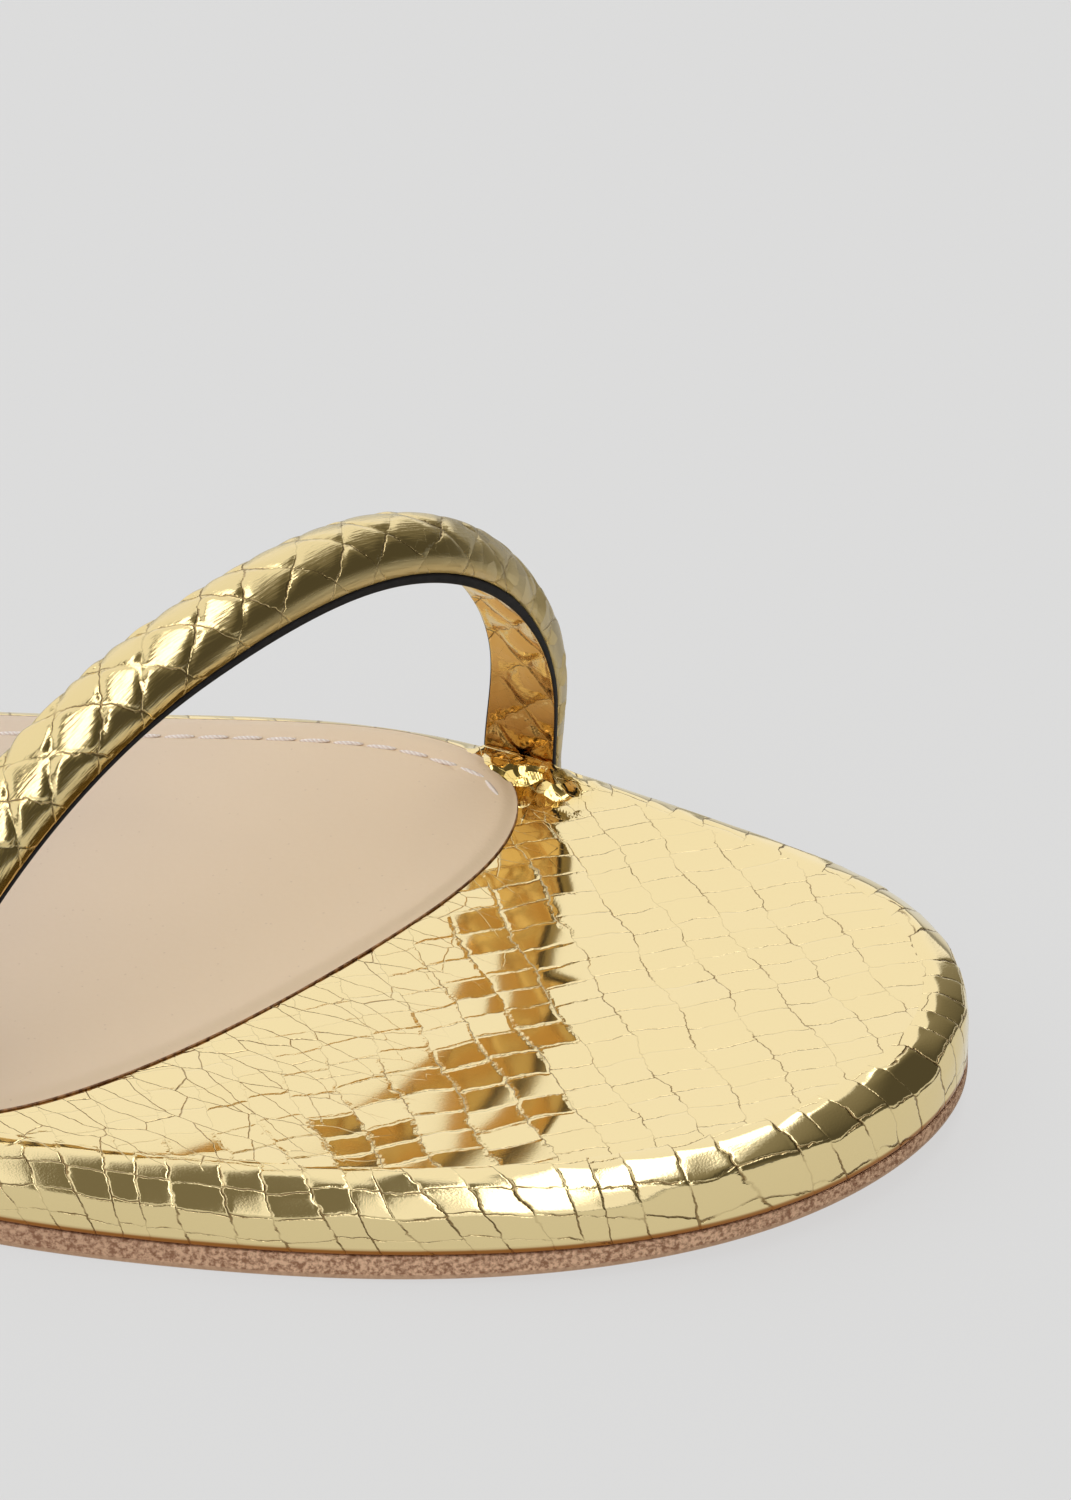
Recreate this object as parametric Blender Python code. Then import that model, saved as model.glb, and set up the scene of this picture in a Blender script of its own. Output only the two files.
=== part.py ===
"""Flat sandal for the right foot: a wrapped footbed on a leather outsole, under one padded toe strap.

Sizes are in millimetres: x runs from the heel to the toe, y towards the inner side of the foot, z up.
"""
import math

import bmesh
import bpy
import numpy as np
from mathutils import Vector

MM = 0.001

# Sole: layers from the floor up
OUTSOLE_THICKNESS = 3.2
FOOTBED_THICKNESS = 6.45
INSOLE_THICKNESS = 0.7
GLUE_GAP = 0.3
FOOTBED_EDGE_RADIUS = 4.0
FOOTBED_TUCK = 0.5
OUTSOLE_EDGE_BREAK = 0.5
INSOLE_EDGE_BREAK = 0.25
INSOLE_MARGIN = 3.8

# Sole: the underside seen from the side
HEEL_SEAT_END = 58.0
BALL_START = 140.0
TOE_SPRING_START = 182.0
TOE_SPRING_END = 242.0
ARCH_RISE = 1.6
TOE_SPRING_RISE = 2.86

# Sole: the outline from above
SOLE_OUTLINE = (
    # place, x, y
    ("toe tip", 241.9, 8.4),
    ("inner toe", 234.1, 25.2),
    ("big toe", 223.0, 32.7),
    ("inner joint", 203.3, 38.6),
    ("inner ball", 173.2, 42.4),
    ("inner instep", 142.8, 34.4),
    ("inner waist", 108.0, 26.2),
    ("inner heel front", 68.0, 26.7),
    ("inner heel", 30.0, 26.4),
    ("inner heel corner", 8.0, 16.5),
    ("heel end", 0.0, 0.0),
    ("outer heel corner", 8.0, -16.5),
    ("outer heel", 30.0, -27.0),
    ("outer waist", 75.0, -29.5),
    ("outer middle", 114.9, -35.6),
    ("outer ball", 155.2, -40.8),
    ("little toe", 184.5, -37.5),
    ("fourth toe", 210.6, -29.8),
    ("outer toe", 233.6, -13.9),
)

# Insole: its slanted front edge; the rest follows the sole's outline at the margin
INSOLE_FRONT = (
    # place, x, y
    ("outer start", 149.0, -36.6),
    ("outer bend", 160.7, -33.3),
    ("outer front", 173.1, -18.6),
    ("middle front", 183.5, 1.7),
    ("tip", 190.1, 22.5),
    ("inner bend", 187.6, 34.0),
    ("inner start", 180.5, 38.5),
    ("inner ball", 169.1, 38.4),
)
INSOLE_SIDE_FROM = "inner instep"
INSOLE_SIDE_TO = "outer middle"

# Strap: where it goes down the sole's edge, and its arch between
STRAP_WIDTH = 7.6
STRAP_INSET = 2.2
STRAP_INNER_X = 186.4
STRAP_OUTER_X = 149.4
STRAP_STRAIGHT_TOP = 10.5
LINING_THICKNESS = 0.9
STRAP_SIDE = 0.6
STRAP_CORNER = 0.3
STRAP_FOOT_THICKNESS = 2.4
STRAP_EDGE_THICKNESS = 4.2
STRAP_THICKNESS = 5.0
STRAP_ARCH = (
    # place, x, y, z of the lining's face, turn of the strap's width about z in degrees
    ("inner side", 186.7, 38.9, 19.8, -16.0),
    ("inner shoulder", 185.8, 35.1, 29.2, -22.0),
    ("big toe joint", 183.2, 27.4, 37.9, -25.5),
    ("rise", 179.1, 19.3, 42.3, -26.3),
    ("crown", 174.6, 9.6, 44.1, -26.2),
    ("second toe", 169.4, -0.2, 43.2, -25.5),
    ("third toe", 164.2, -9.7, 40.6, -24.0),
    ("fourth toe", 158.6, -19.8, 34.8, -20.5),
    ("outer shoulder", 153.6, -29.8, 26.2, -14.0),
    ("outer side", 150.4, -36.6, 17.0, -8.0),
)

# Fineness of the faceted surfaces
OUTLINE_SAMPLES = 720
SOLE_STATIONS = 60
INSOLE_STATIONS = 48
EDGE_STEPS = 6
STRAP_SECTIONS = 64
DOME_STEPS = 10
TANGENT_STEP = 0.001
SHARP_ANGLE = math.radians(40.0)

OUTSOLE_TOP = OUTSOLE_THICKNESS
FOOTBED_BOTTOM = OUTSOLE_TOP + GLUE_GAP
FOOTBED_TOP = FOOTBED_BOTTOM + FOOTBED_THICKNESS
INSOLE_BOTTOM = FOOTBED_TOP + GLUE_GAP
INSOLE_TOP = INSOLE_BOTTOM + INSOLE_THICKNESS


def clear_scene():
    for item in list(bpy.data.objects):
        bpy.data.objects.remove(item, do_unlink=True)


def underside(x):
    """Height of the sole's underside: flat heel, low arch, flat ball and toe spring."""
    if HEEL_SEAT_END < x < BALL_START:
        share = (x - HEEL_SEAT_END) / (BALL_START - HEEL_SEAT_END)
        return ARCH_RISE * 0.5 * (1.0 - math.cos(2.0 * math.pi * share))
    if x > TOE_SPRING_START:
        return TOE_SPRING_RISE * ((x - TOE_SPRING_START) / (TOE_SPRING_END - TOE_SPRING_START)) ** 2
    return 0.0


def spline(knots, values, closed):
    """Cubic spline through rows of values: returns a function of the knot parameter."""
    knots = np.asarray(knots, float)
    values = np.asarray(values, float)
    steps = np.diff(knots)
    count = len(values)
    system = np.zeros((count, count))
    right = np.zeros_like(values)
    slopes = np.diff(values, axis=0) / steps[:, None]
    for row in range(1, count - 1):
        system[row, row - 1] = steps[row - 1]
        system[row, row] = 2.0 * (steps[row - 1] + steps[row])
        system[row, row + 1] = steps[row]
        right[row] = 6.0 * (slopes[row] - slopes[row - 1])
    if closed:
        system[0, 0], system[0, -1] = 1.0, -1.0
        system[-1, 0] = 2.0 * (steps[0] + steps[-1])
        system[-1, 1] = steps[0]
        system[-1, -2] = steps[-1]
        right[-1] = 6.0 * (slopes[0] - slopes[-1])
    else:
        system[0, 0] = system[-1, -1] = 1.0
    bends = np.linalg.solve(system, right)

    def value_at(parameter):
        span = min(max(int(np.searchsorted(knots, parameter, side="right")) - 1, 0), count - 2)
        step = steps[span]
        after = (parameter - knots[span]) / step
        before = 1.0 - after
        curve = (before ** 3 - before) * bends[span] + (after ** 3 - after) * bends[span + 1]
        return before * values[span] + after * values[span + 1] + curve * step * step / 6.0

    return value_at


def knots_along(points):
    """Parameters that grow with the square root of each chord, so that the curve stays round."""
    chords = np.linalg.norm(np.diff(np.asarray(points, float), axis=0), axis=1)
    return np.concatenate(([0.0], np.cumsum(np.sqrt(chords))))


def closed_outline(points):
    """Dense points of the smooth closed outline through the given places."""
    loop = np.vstack([points, points[:1]])
    knots = knots_along(loop)
    curve = spline(knots, loop, closed=True)
    return np.array([curve(t) for t in np.linspace(0.0, knots[-1], OUTLINE_SAMPLES, endpoint=False)])


def station_ring(outline, stations):
    """Ring with an outer and an inner point at each station: heel, outer side, toe, inner side."""
    toe = int(outline[:, 0].argmax())
    turned = np.roll(outline, -toe, axis=0)
    heel = int(turned[:, 0].argmin())
    inner = turned[:heel + 1][::-1]
    outer = np.vstack([turned[heel:], turned[:1]])
    start, end = outline[:, 0].min(), outline[:, 0].max()
    shares = 0.5 * (1.0 - np.cos(np.pi * np.arange(stations + 1) / stations))
    xs = start + (end - start) * shares
    outer_side = [(x, np.interp(x, outer[:, 0], outer[:, 1])) for x in xs]
    inner_side = [(x, np.interp(x, inner[:, 0], inner[:, 1])) for x in xs[1:-1]]
    return np.array(outer_side + inner_side[::-1])


def outward(ring):
    along = np.roll(ring, -1, axis=0) - np.roll(ring, 1, axis=0)
    normal = np.stack([along[:, 1], -along[:, 0]], axis=1)
    return normal / np.linalg.norm(normal, axis=1)[:, None]


def layer(ring, inset, height):
    """The ring moved in from the edge and lifted above the sole's underside."""
    moved = ring - outward(ring) * inset
    return [Vector((x, y, underside(x) + height)) for x, y in moved]


def mesh_object(name, bm, material):
    mesh = bpy.data.meshes.new(name)
    bmesh.ops.recalc_face_normals(bm, faces=bm.faces)
    bm.to_mesh(mesh)
    bm.free()
    mesh.shade_smooth()
    mesh.set_sharp_from_angle(angle=SHARP_ANGLE)
    mesh.materials.append(material)
    item = bpy.data.objects.new(name, mesh)
    bpy.context.collection.objects.link(item)
    return item


def walls_between(bm, low, high):
    count = len(low)
    for i in range(count):
        j = (i + 1) % count
        bm.faces.new((low[i], low[j], high[j], high[i]))


def ladder(bm, ring):
    """Closes a station ring with one strip of faces from rung to rung."""
    count = len(ring)
    half = count // 2
    bm.faces.new((ring[0], ring[1], ring[-1]))
    for i in range(1, half - 1):
        bm.faces.new((ring[i], ring[i + 1], ring[count - i - 1], ring[count - i]))
    bm.faces.new((ring[half - 1], ring[half], ring[half + 1]))


def sole_layer(name, layers, material):
    """Solid through station rings from the bottom up."""
    bm = bmesh.new()
    rings = [[bm.verts.new(point * MM) for point in points] for points in layers]
    for low, high in zip(rings, rings[1:]):
        walls_between(bm, low, high)
    ladder(bm, rings[0])
    ladder(bm, rings[-1])
    return mesh_object(name, bm, material)


def finish(name, color, roughness, metallic):
    material = bpy.data.materials.new(name)
    material.use_nodes = True
    shader = material.node_tree.nodes["Principled BSDF"]
    shader.inputs["Base Color"].default_value = (*color, 1.0)
    shader.inputs["Roughness"].default_value = roughness
    shader.inputs["Metallic"].default_value = metallic
    return material


def sole_edge_at(outline, x, inner):
    """Point of the sole's edge at a station, with its outward direction."""
    side = outline[(outline[:, 1] > 0.0) == inner]
    place = side[np.abs(side[:, 0] - x).argmin()]
    index = int(np.linalg.norm(outline - place, axis=1).argmin())
    return Vector(place), Vector(outward(outline)[index])


def build_outsole(ring):
    layers = [
        layer(ring, OUTSOLE_EDGE_BREAK, 0.0),
        layer(ring, 0.0, OUTSOLE_EDGE_BREAK),
        layer(ring, 0.0, OUTSOLE_TOP),
    ]
    return sole_layer("outsole", layers, finish("sole leather", (0.31, 0.18, 0.12), 0.75, 0.0))


def build_footbed(ring):
    layers = [
        layer(ring, FOOTBED_TUCK, FOOTBED_BOTTOM),
        layer(ring, 0.0, FOOTBED_BOTTOM + 2.0 * FOOTBED_TUCK),
    ]
    for step in range(EDGE_STEPS + 1):
        angle = 0.5 * math.pi * step / EDGE_STEPS
        inset = FOOTBED_EDGE_RADIUS * (1.0 - math.cos(angle))
        drop = FOOTBED_EDGE_RADIUS * (1.0 - math.sin(angle))
        layers.append(layer(ring, inset, FOOTBED_TOP - drop))
    return sole_layer("footbed", layers, finish("gold scale leather", (0.90, 0.72, 0.33), 0.18, 1.0))


def insole_outline():
    """Front edge from its own rows, sides and heel from the sole's rows moved in by the margin."""
    names = [place for place, x, y in SOLE_OUTLINE]
    rows = np.array([(x, y) for place, x, y in SOLE_OUTLINE])
    sides = rows - outward(rows) * INSOLE_MARGIN
    back = sides[names.index(INSOLE_SIDE_FROM):names.index(INSOLE_SIDE_TO) + 1]
    front = [(x, y) for place, x, y in INSOLE_FRONT]
    return closed_outline(np.vstack([front, back]))


def build_insole():
    ring = station_ring(insole_outline(), INSOLE_STATIONS)
    layers = [
        layer(ring, 0.0, INSOLE_BOTTOM),
        layer(ring, 0.0, INSOLE_TOP - INSOLE_EDGE_BREAK),
        layer(ring, INSOLE_EDGE_BREAK, INSOLE_TOP),
    ]
    return sole_layer("insole", layers, finish("nude leather", (0.62, 0.46, 0.35), 0.6, 0.0))


def strap_landing(outline, x, inner):
    """Rows of the strap where it goes straight down the sole's edge, from the tuck up."""
    place, away = sole_edge_at(outline, x, inner)
    face = place - away * STRAP_INSET
    along = Vector((away.y, -away.x)) if inner else Vector((-away.y, away.x))
    turn = math.degrees(math.atan2(along.y, along.x))
    foot_height = underside(x) + OUTSOLE_TOP + GLUE_GAP
    return [
        (face.x, face.y, foot_height, turn, STRAP_FOOT_THICKNESS),
        (face.x, face.y, STRAP_STRAIGHT_TOP, turn, STRAP_EDGE_THICKNESS),
    ]


def strap_frames(outline):
    """Evenly spaced sections of the strap: place on the lining's face, width and outward axes, thickness."""
    arch = [(x, y, z, turn, STRAP_THICKNESS) for place, x, y, z, turn in STRAP_ARCH]
    outer_end = strap_landing(outline, STRAP_OUTER_X, inner=False)
    rows = np.array(strap_landing(outline, STRAP_INNER_X, inner=True) + arch + outer_end[::-1])
    knots = knots_along(rows[:, :3])
    curve = spline(knots, rows, closed=False)
    fine = np.linspace(0.0, knots[-1], OUTLINE_SAMPLES)
    points = np.array([curve(t)[:3] for t in fine])
    lengths = np.concatenate(([0.0], np.cumsum(np.linalg.norm(np.diff(points, axis=0), axis=1))))
    frames = []
    for share in np.linspace(0.0, 1.0, STRAP_SECTIONS):
        t = np.interp(share * lengths[-1], lengths, fine)
        x, y, z, turn, thickness = curve(t)
        step = TANGENT_STEP * knots[-1]
        ahead = Vector(curve(min(t + step, knots[-1]))[:3]) - Vector(curve(max(t - step, 0.0))[:3])
        ahead.normalize()
        across = Vector((math.cos(math.radians(turn)), math.sin(math.radians(turn)), 0.0))
        across = (across - ahead * across.dot(ahead)).normalized()
        frames.append((Vector((x, y, z)), across, ahead.cross(across), min(thickness, STRAP_THICKNESS)))
    return frames


def strap_section(thickness):
    """Half-round section over the lining: flat face, short sides and a dome."""
    half = 0.5 * STRAP_WIDTH
    base = LINING_THICKNESS + GLUE_GAP
    section = [(half - STRAP_CORNER, base), (half, base + STRAP_CORNER)]
    for step in range(DOME_STEPS + 1):
        angle = math.pi * step / DOME_STEPS
        rise = base + STRAP_SIDE + (thickness - base - STRAP_SIDE) * math.sin(angle)
        section.append((half * math.cos(angle), rise))
    return section + [(-half, base + STRAP_CORNER), (STRAP_CORNER - half, base)]


def lining_section(thickness):
    """Flat strip as wide as the strap, the same all along."""
    half = 0.5 * STRAP_WIDTH
    return [(half, 0.0), (half, LINING_THICKNESS), (-half, LINING_THICKNESS), (-half, 0.0)]


def swept(name, frames, section_of, material):
    bm = bmesh.new()
    rings = []
    for place, across, away, thickness in frames:
        section = section_of(thickness)
        rings.append([bm.verts.new((place + across * u + away * v) * MM) for u, v in section])
    for low, high in zip(rings, rings[1:]):
        walls_between(bm, low, high)
    bm.faces.new(rings[0])
    bm.faces.new(rings[-1])
    return mesh_object(name, bm, material)


def cut_notch(footbed, outline, x, inner):
    """Notch in the footbed's edge that takes the strap's straight foot."""
    place, away = sole_edge_at(outline, x, inner)
    depth = STRAP_INSET + GLUE_GAP
    reach = 2.0 * STRAP_THICKNESS
    width = STRAP_WIDTH + 2.0 * GLUE_GAP
    bm = bmesh.new()
    bmesh.ops.create_cube(bm, size=1.0)
    bmesh.ops.scale(bm, vec=Vector((reach, width, 2.0 * FOOTBED_TOP)) * MM, verts=bm.verts)
    cutter = mesh_object("notch cutter", bm, footbed.data.materials[0])
    cutter.location = (*((place + away * (0.5 * reach - depth)) * MM), FOOTBED_TOP * MM)
    cutter.rotation_euler.z = math.atan2(away.y, away.x)
    cutter.hide_render = True
    cutter.display_type = "WIRE"
    notch = footbed.modifiers.new("strap notch", "BOOLEAN")
    notch.operation = "DIFFERENCE"
    notch.object = cutter
    return cutter


def stand_on_origin(pieces, cutters):
    """Parents all pieces to one empty, so that the origin is under the middle of their box."""
    corners = np.array([vertex.co for piece in pieces for vertex in piece.data.vertices])
    middle = 0.5 * (corners.min(axis=0) + corners.max(axis=0))
    sandal = bpy.data.objects.new("sandal", None)
    bpy.context.collection.objects.link(sandal)
    sandal.location = (-middle[0], -middle[1], 0.0)
    for item in pieces + cutters:
        item.parent = sandal


def main():
    clear_scene()
    outline = closed_outline(np.array([(x, y) for place, x, y in SOLE_OUTLINE]))
    ring = station_ring(outline, SOLE_STATIONS)
    footbed = build_footbed(ring)
    cutters = [
        cut_notch(footbed, outline, STRAP_INNER_X, inner=True),
        cut_notch(footbed, outline, STRAP_OUTER_X, inner=False),
    ]
    frames = strap_frames(outline)
    gold = finish("gold strap leather", (0.88, 0.70, 0.32), 0.2, 1.0)
    amber = finish("gold lining leather", (0.80, 0.55, 0.20), 0.25, 1.0)
    pieces = [
        build_outsole(ring),
        footbed,
        build_insole(),
        swept("strap", frames, strap_section, gold),
        swept("strap_lining", frames, lining_section, amber),
    ]
    stand_on_origin(pieces, cutters)


main()
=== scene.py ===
"""Looks of the flat sandal: mirror gold scale leather, a nude leather sock and a raw leather sole.

Sizes are in millimetres in the shoe's own frame: x runs from the heel to the toe, y towards the inner side
of the foot, z up.
"""
import math

import bmesh
import bpy
import numpy as np
from mathutils import Matrix, Vector


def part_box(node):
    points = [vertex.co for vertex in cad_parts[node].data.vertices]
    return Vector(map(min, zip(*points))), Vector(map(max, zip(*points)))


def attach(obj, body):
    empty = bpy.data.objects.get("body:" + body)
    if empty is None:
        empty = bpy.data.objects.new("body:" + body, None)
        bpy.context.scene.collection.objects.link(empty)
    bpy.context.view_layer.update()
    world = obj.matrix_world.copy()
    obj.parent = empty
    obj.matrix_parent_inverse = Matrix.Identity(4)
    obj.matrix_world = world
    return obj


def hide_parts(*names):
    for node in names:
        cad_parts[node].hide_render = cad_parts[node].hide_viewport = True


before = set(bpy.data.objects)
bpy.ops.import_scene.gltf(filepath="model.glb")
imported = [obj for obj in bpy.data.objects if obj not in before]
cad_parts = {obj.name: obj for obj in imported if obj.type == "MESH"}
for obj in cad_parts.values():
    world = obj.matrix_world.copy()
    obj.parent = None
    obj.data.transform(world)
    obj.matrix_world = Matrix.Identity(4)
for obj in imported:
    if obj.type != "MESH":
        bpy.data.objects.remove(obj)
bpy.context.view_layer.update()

MM = 0.001
HALVES = (0.5, 0.5, 0.5)

# Sole: layers from the floor up, and the underside seen from the side
OUTSOLE_TOP = 2.75
OUTSOLE_TOE_THINNING = 0.75
OUTSOLE_THINS = (200.0, 240.0)
WRAP_GAP = 0.03
STRAP_FOOT_BOTTOM = 3.5
FOOTBED_TOP = 9.95
FOOTBED_EDGE_RADIUS = 4.4
FOOTBED_TUCK = 0.45
INSOLE_BOTTOM = 10.0
INSOLE_TOP = 10.55
INSOLE_MARGIN = 3.8
INSOLE_SKIVE = 0.4
INSOLE_SKIVE_WIDTH = 1.6
HEEL_SEAT_END = 58.0
BALL_START = 140.0
TOE_SPRING_START = 182.0
TOE_SPRING_END = 242.0
ARCH_RISE = 1.6
TOE_SPRING_RISE = 2.86

SOLE_OUTLINE = (
    # place, x, y
    ("toe tip", 241.9, 8.4),
    ("inner toe", 234.1, 25.2),
    ("big toe", 223.0, 32.7),
    ("inner joint", 203.3, 38.6),
    ("inner ball", 173.2, 42.4),
    ("inner instep", 142.8, 34.4),
    ("inner waist", 108.0, 26.2),
    ("inner heel front", 68.0, 26.7),
    ("inner heel", 30.0, 26.4),
    ("inner heel corner", 8.0, 16.5),
    ("heel end", 0.0, 0.0),
    ("outer heel corner", 8.0, -16.5),
    ("outer heel", 30.0, -27.0),
    ("outer waist", 75.0, -29.5),
    ("outer middle", 114.9, -35.6),
    ("outer ball", 155.2, -40.8),
    ("little toe", 184.5, -37.5),
    ("fourth toe", 210.6, -29.8),
    ("outer toe", 233.6, -13.9),
)

INSOLE_FRONT = (
    # place, x, y
    ("outer start", 149.0, -36.6),
    ("outer bend", 160.7, -33.3),
    ("outer front", 173.1, -18.6),
    ("middle front", 183.5, 1.7),
    ("tip", 190.1, 22.5),
    ("inner bend", 187.6, 34.0),
    ("inner start", 180.5, 38.5),
    ("inner ball", 169.1, 38.4),
)
INSOLE_SIDE_FROM = "inner instep"
INSOLE_SIDE_TO = "outer middle"

# Strap: its feet on the sole's edge, and its arch between
STRAP_WIDTH = 7.6
STRAP_INSET = 2.2
NOTCH_DEPTH = 2.15
NOTCH_SIDE = (3.7, 4.5)
NOTCH_REACH = 20.0
NOTCH_EDGE_RADIUS = 0.6
STRAP_INNER_X = 186.4
STRAP_OUTER_X = 149.4
STRAP_STRAIGHT_TOP = 10.5
STRAP_BASE = 1.2
STRAP_SIDE = 0.6
STRAP_CORNER = 0.3
STRAP_FOOT_THICKNESS = 2.4
STRAP_EDGE_THICKNESS = 4.2
STRAP_THICKNESS = 5.0
STRAP_LEAN = 0.3
LINING_EDGE = 1.15
EDGE_TAPER = 0.82
EDGE_TAPER_AT_CROWN = 0.26
EDGE_TAPER_AT_INNER = 0.8
EDGE_THINS_INNER = (0.10, 0.32)
EDGE_THINS_OUTER = (0.40, 0.68)
# Heights up the lining below which its foot is painted darker, as painted shade and gold-on-gold reflection
LINING_DARKENS = (12.0, 24.0)
STRAP_ARCH = (
    # place, x, y, z of the lining's face, turn of the strap's width about z in degrees
    ("inner side", 186.7, 38.9, 19.8, -16.0),
    ("inner shoulder", 185.8, 35.1, 29.2, -22.0),
    ("big toe joint", 183.2, 27.4, 37.9, -25.5),
    ("rise", 179.1, 19.3, 42.3, -26.3),
    ("crown", 174.6, 9.6, 44.1, -26.2),
    ("second toe", 169.4, -0.2, 43.2, -25.5),
    ("third toe", 164.2, -9.7, 40.6, -24.0),
    ("fourth toe", 158.6, -19.8, 34.8, -20.5),
    ("outer shoulder", 153.6, -29.8, 26.2, -14.0),
    ("outer side", 150.4, -36.6, 17.0, -8.0),
)

# Scales of the gold leather
PLATE_LONG = 4.6
PLATE_SHORT = 3.4
LONG_LINES_TURN = math.radians(52.0)
CROSS_LINES_TURN = math.radians(36.0)
PLATES_GROW_FROM = 205.0
PLATES_GROW_OVER = 6.0
PLATE_GROWTH = 0.12
COLUMN_STEP = 0.618
COLUMN_STAGGER = 0.35
EDGE_STAGGER = 0.2
STRAP_PLATE = 5.8
STRAP_ROW_SHIFT = 1.0
STRAP_PILLOW = 0.18
STRAP_CROWN_PILLOW = 0.08
STRAP_FLATTENING = 0.7
STRAP_DOME_RADIUS = 3.9
LINING_PILLOW = 0.4
EDGE_PLATE_LONG = 4.1
EDGE_PLATE_SHORT = 2.5
EDGE_PLATE_GROWTH = 1.5
EDGE_PLATES_GROW = (213.0, 230.0)
EDGE_PILLOW = 0.03
EDGE_FLATTENING = 0.75
EDGE_FLATTENING_BEHIND = 0.3
EDGE_FLATTENS = (168.0, 188.0)
SIDE_PILLOW = 0.05
EDGE_LATTICE_SHIFT = 500.0
EDGE_ROWS_FROM = 0.26
EDGE_SLANT = 0.3
# Unevenness of the lattices: height, pace and start of each wave
EDGE_COLUMN_WAVES = ((0.3, 8.0, 0.0), (0.18, 23.0, 1.0), (0.1, 51.0, 2.0))
EDGE_ROW_WAVES = ((0.12, 17.0, 0.0), (0.08, 41.0, 0.7))
EDGE_SLANT_WAVES = ((0.14, 13.0, 0.5),)
STRAP_COLUMN_WAVES = ((0.4, 0.45, 1.0), (0.15, 1.07, 0.0))
STRAP_ROW_WAVES = ((0.2, 0.31, 0.0),)
CRACK_TURN = math.radians(14.0)
CRACK_CELLS = (140.0, 400.0, 0.0)
CRACK_DRIFT = (0.4, 0.9, 0.0)
CRACK_WIDTH = 0.018
CRACK_DEPTH = 0.03
FACET_LEAN = 2.0
FACET_FINENESS = 480.0
WRAP_PLATES = (
    # plates' input, value on the flat top, value over the edge
    ("Groove Width", 0.018, 0.038),
    ("Groove Depth", 0.025, 0.06),
    ("Roll", 0.02, 0.018),
    ("Roll Width", 0.09, 0.07),
    ("Grain", 0.0007, 0.005),
    ("Stagger", COLUMN_STAGGER, EDGE_STAGGER),
)

# Lean of the plates on the toe, in the scene's metres. Down the toe they lean more, then a little less.
# Across the line where they mirror the strap they spread its image, and past it they are turned away.
LEAN_GROWS = (0.022, -0.002)
LEAN = 0.065
LEAN_FALLS = (-0.008, -0.032)
LEAN_FALL = 0.013
MIRROR_ACROSS = (0.954, 0.3)
MIRROR_SPREADS = (0.0711, 0.0815)
MIRROR_SPREAD = 0.027
PLATES_TURN = (0.0792, 0.0808)
PLATES_TURN_BACK = (0.104, 0.092)
PLATES_TURNED = 0.137
CRACKED_BEHIND = (0.078, 0.060)

# Strap: where along it (as a share from the inner foot) and how far up its sides the foil is worn
STRAP_WORN = (0.2, 0.36)
STRAP_WORN_LOW = (0.44, 0.6)
STRAP_WORN_UP = (0.4, 1.3)
# How far up from its lower edge and where along the strap the fringe is tinted orange as a painted
# reflection of the insole
STRAP_FRINGE_UP = (0.0, 0.6)
STRAP_FRINGE = (0.18, 0.3)
STRAP_OUTER = (0.45, 0.62)

# Seam of the insole
STITCH_INSET = 3.7
STITCH_PITCH = 3.3
STITCH_LONG = 3.05
STITCH_WIDE = 0.58
STITCH_HIGH = 0.4
STITCH_SLANT = math.radians(5.0)
STITCH_GROOVE = 0.18
STITCH_END_DRIFT = 1.5
STITCH_END_REACH = 9.0
STITCH_FROM = (187.0, 31.0)
STITCH_TO = (152.0, -32.5)

# Gathered leather in front of the strap's inner foot
GATHER_PLACE = (188.2, 34.8)
GATHER_REACH = (5.8, 4.4)
FOOT_WRINKLES = (
    # from x, y, to x, y, width, height
    (181.6, 38.2, 183.2, 34.6, 0.7, 0.30),
    (184.0, 37.6, 185.6, 33.2, 0.8, 0.42),
    (186.0, 37.2, 187.0, 32.4, 0.7, 0.38),
    (187.8, 37.4, 189.6, 32.8, 0.8, 0.45),
    (189.6, 37.8, 192.0, 34.0, 0.7, 0.36),
    (191.2, 38.4, 194.2, 36.0, 0.7, 0.28),
    (185.2, 35.6, 189.4, 34.6, 0.6, 0.25),
    (182.6, 36.4, 186.2, 36.0, 0.6, 0.25),
)

# Colours and finish of the gold leather
GROOVE_COLOUR = (0.34, 0.23, 0.10)
SOLE_FOIL = (0.87, 0.715, 0.39)
STRAP_FOIL = (0.80, 0.645, 0.33)
LINING_FOIL = (0.79, 0.55, 0.21)
# painted shade: dark brown where the wrap tucks under against the outsole
TUCK_SHADE_COLOUR = (0.34, 0.13, 0.028)
CRUMPLE_COLOUR = (0.93, 0.66, 0.17)
WORN_COLOUR = (0.60, 0.46, 0.21)
# painted reflection: orange tint where the strap's lower edge mirrors the nude insole
FRINGE_REFLECTION_COLOUR = (0.74, 0.49, 0.17)
# painted shade and painted gold-on-gold reflection on the lining's foot
LOW_SHADE_AND_REFLECTION_COLOUR = (0.45, 0.25, 0.07)
GROOVE_ROUGHNESS = 0.3
WORN_ROUGHNESS = 0.26
WORN_METAL = 0.35

# Strength of the light, and the floor's half width in metres
WHITE = (1.0, 1.0, 1.0)
WALL_LIGHT = 1.03
RIGHT_LIGHT = 0.27
RIGHT_FALL = 0.18
LOW_GLOW = 0.06
GAP_DIMMING = 0.8
SOFTBOX_LIGHT = 3.0
BACKDROP_LIGHT = 0.716
FLOOR_LIGHT = 0.61
FLOOR_HALF = 12.0

# Fineness of the meshes, and the ends of the spines that their sheets run out from
OUTLINE_SAMPLES = 6000
EDGE_COLUMNS = 520
INSOLE_COLUMNS = 300
SOLE_SPINE = (30.0, 214.0)
INSOLE_SPINE = (34.0, 160.0)
FRONT_START = 135.0
FRONT_DENSITY = 2.6
STRAP_ROWS = 560
STRAP_COLUMNS = 84
SEAM_MERGE = 1e-6

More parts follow.
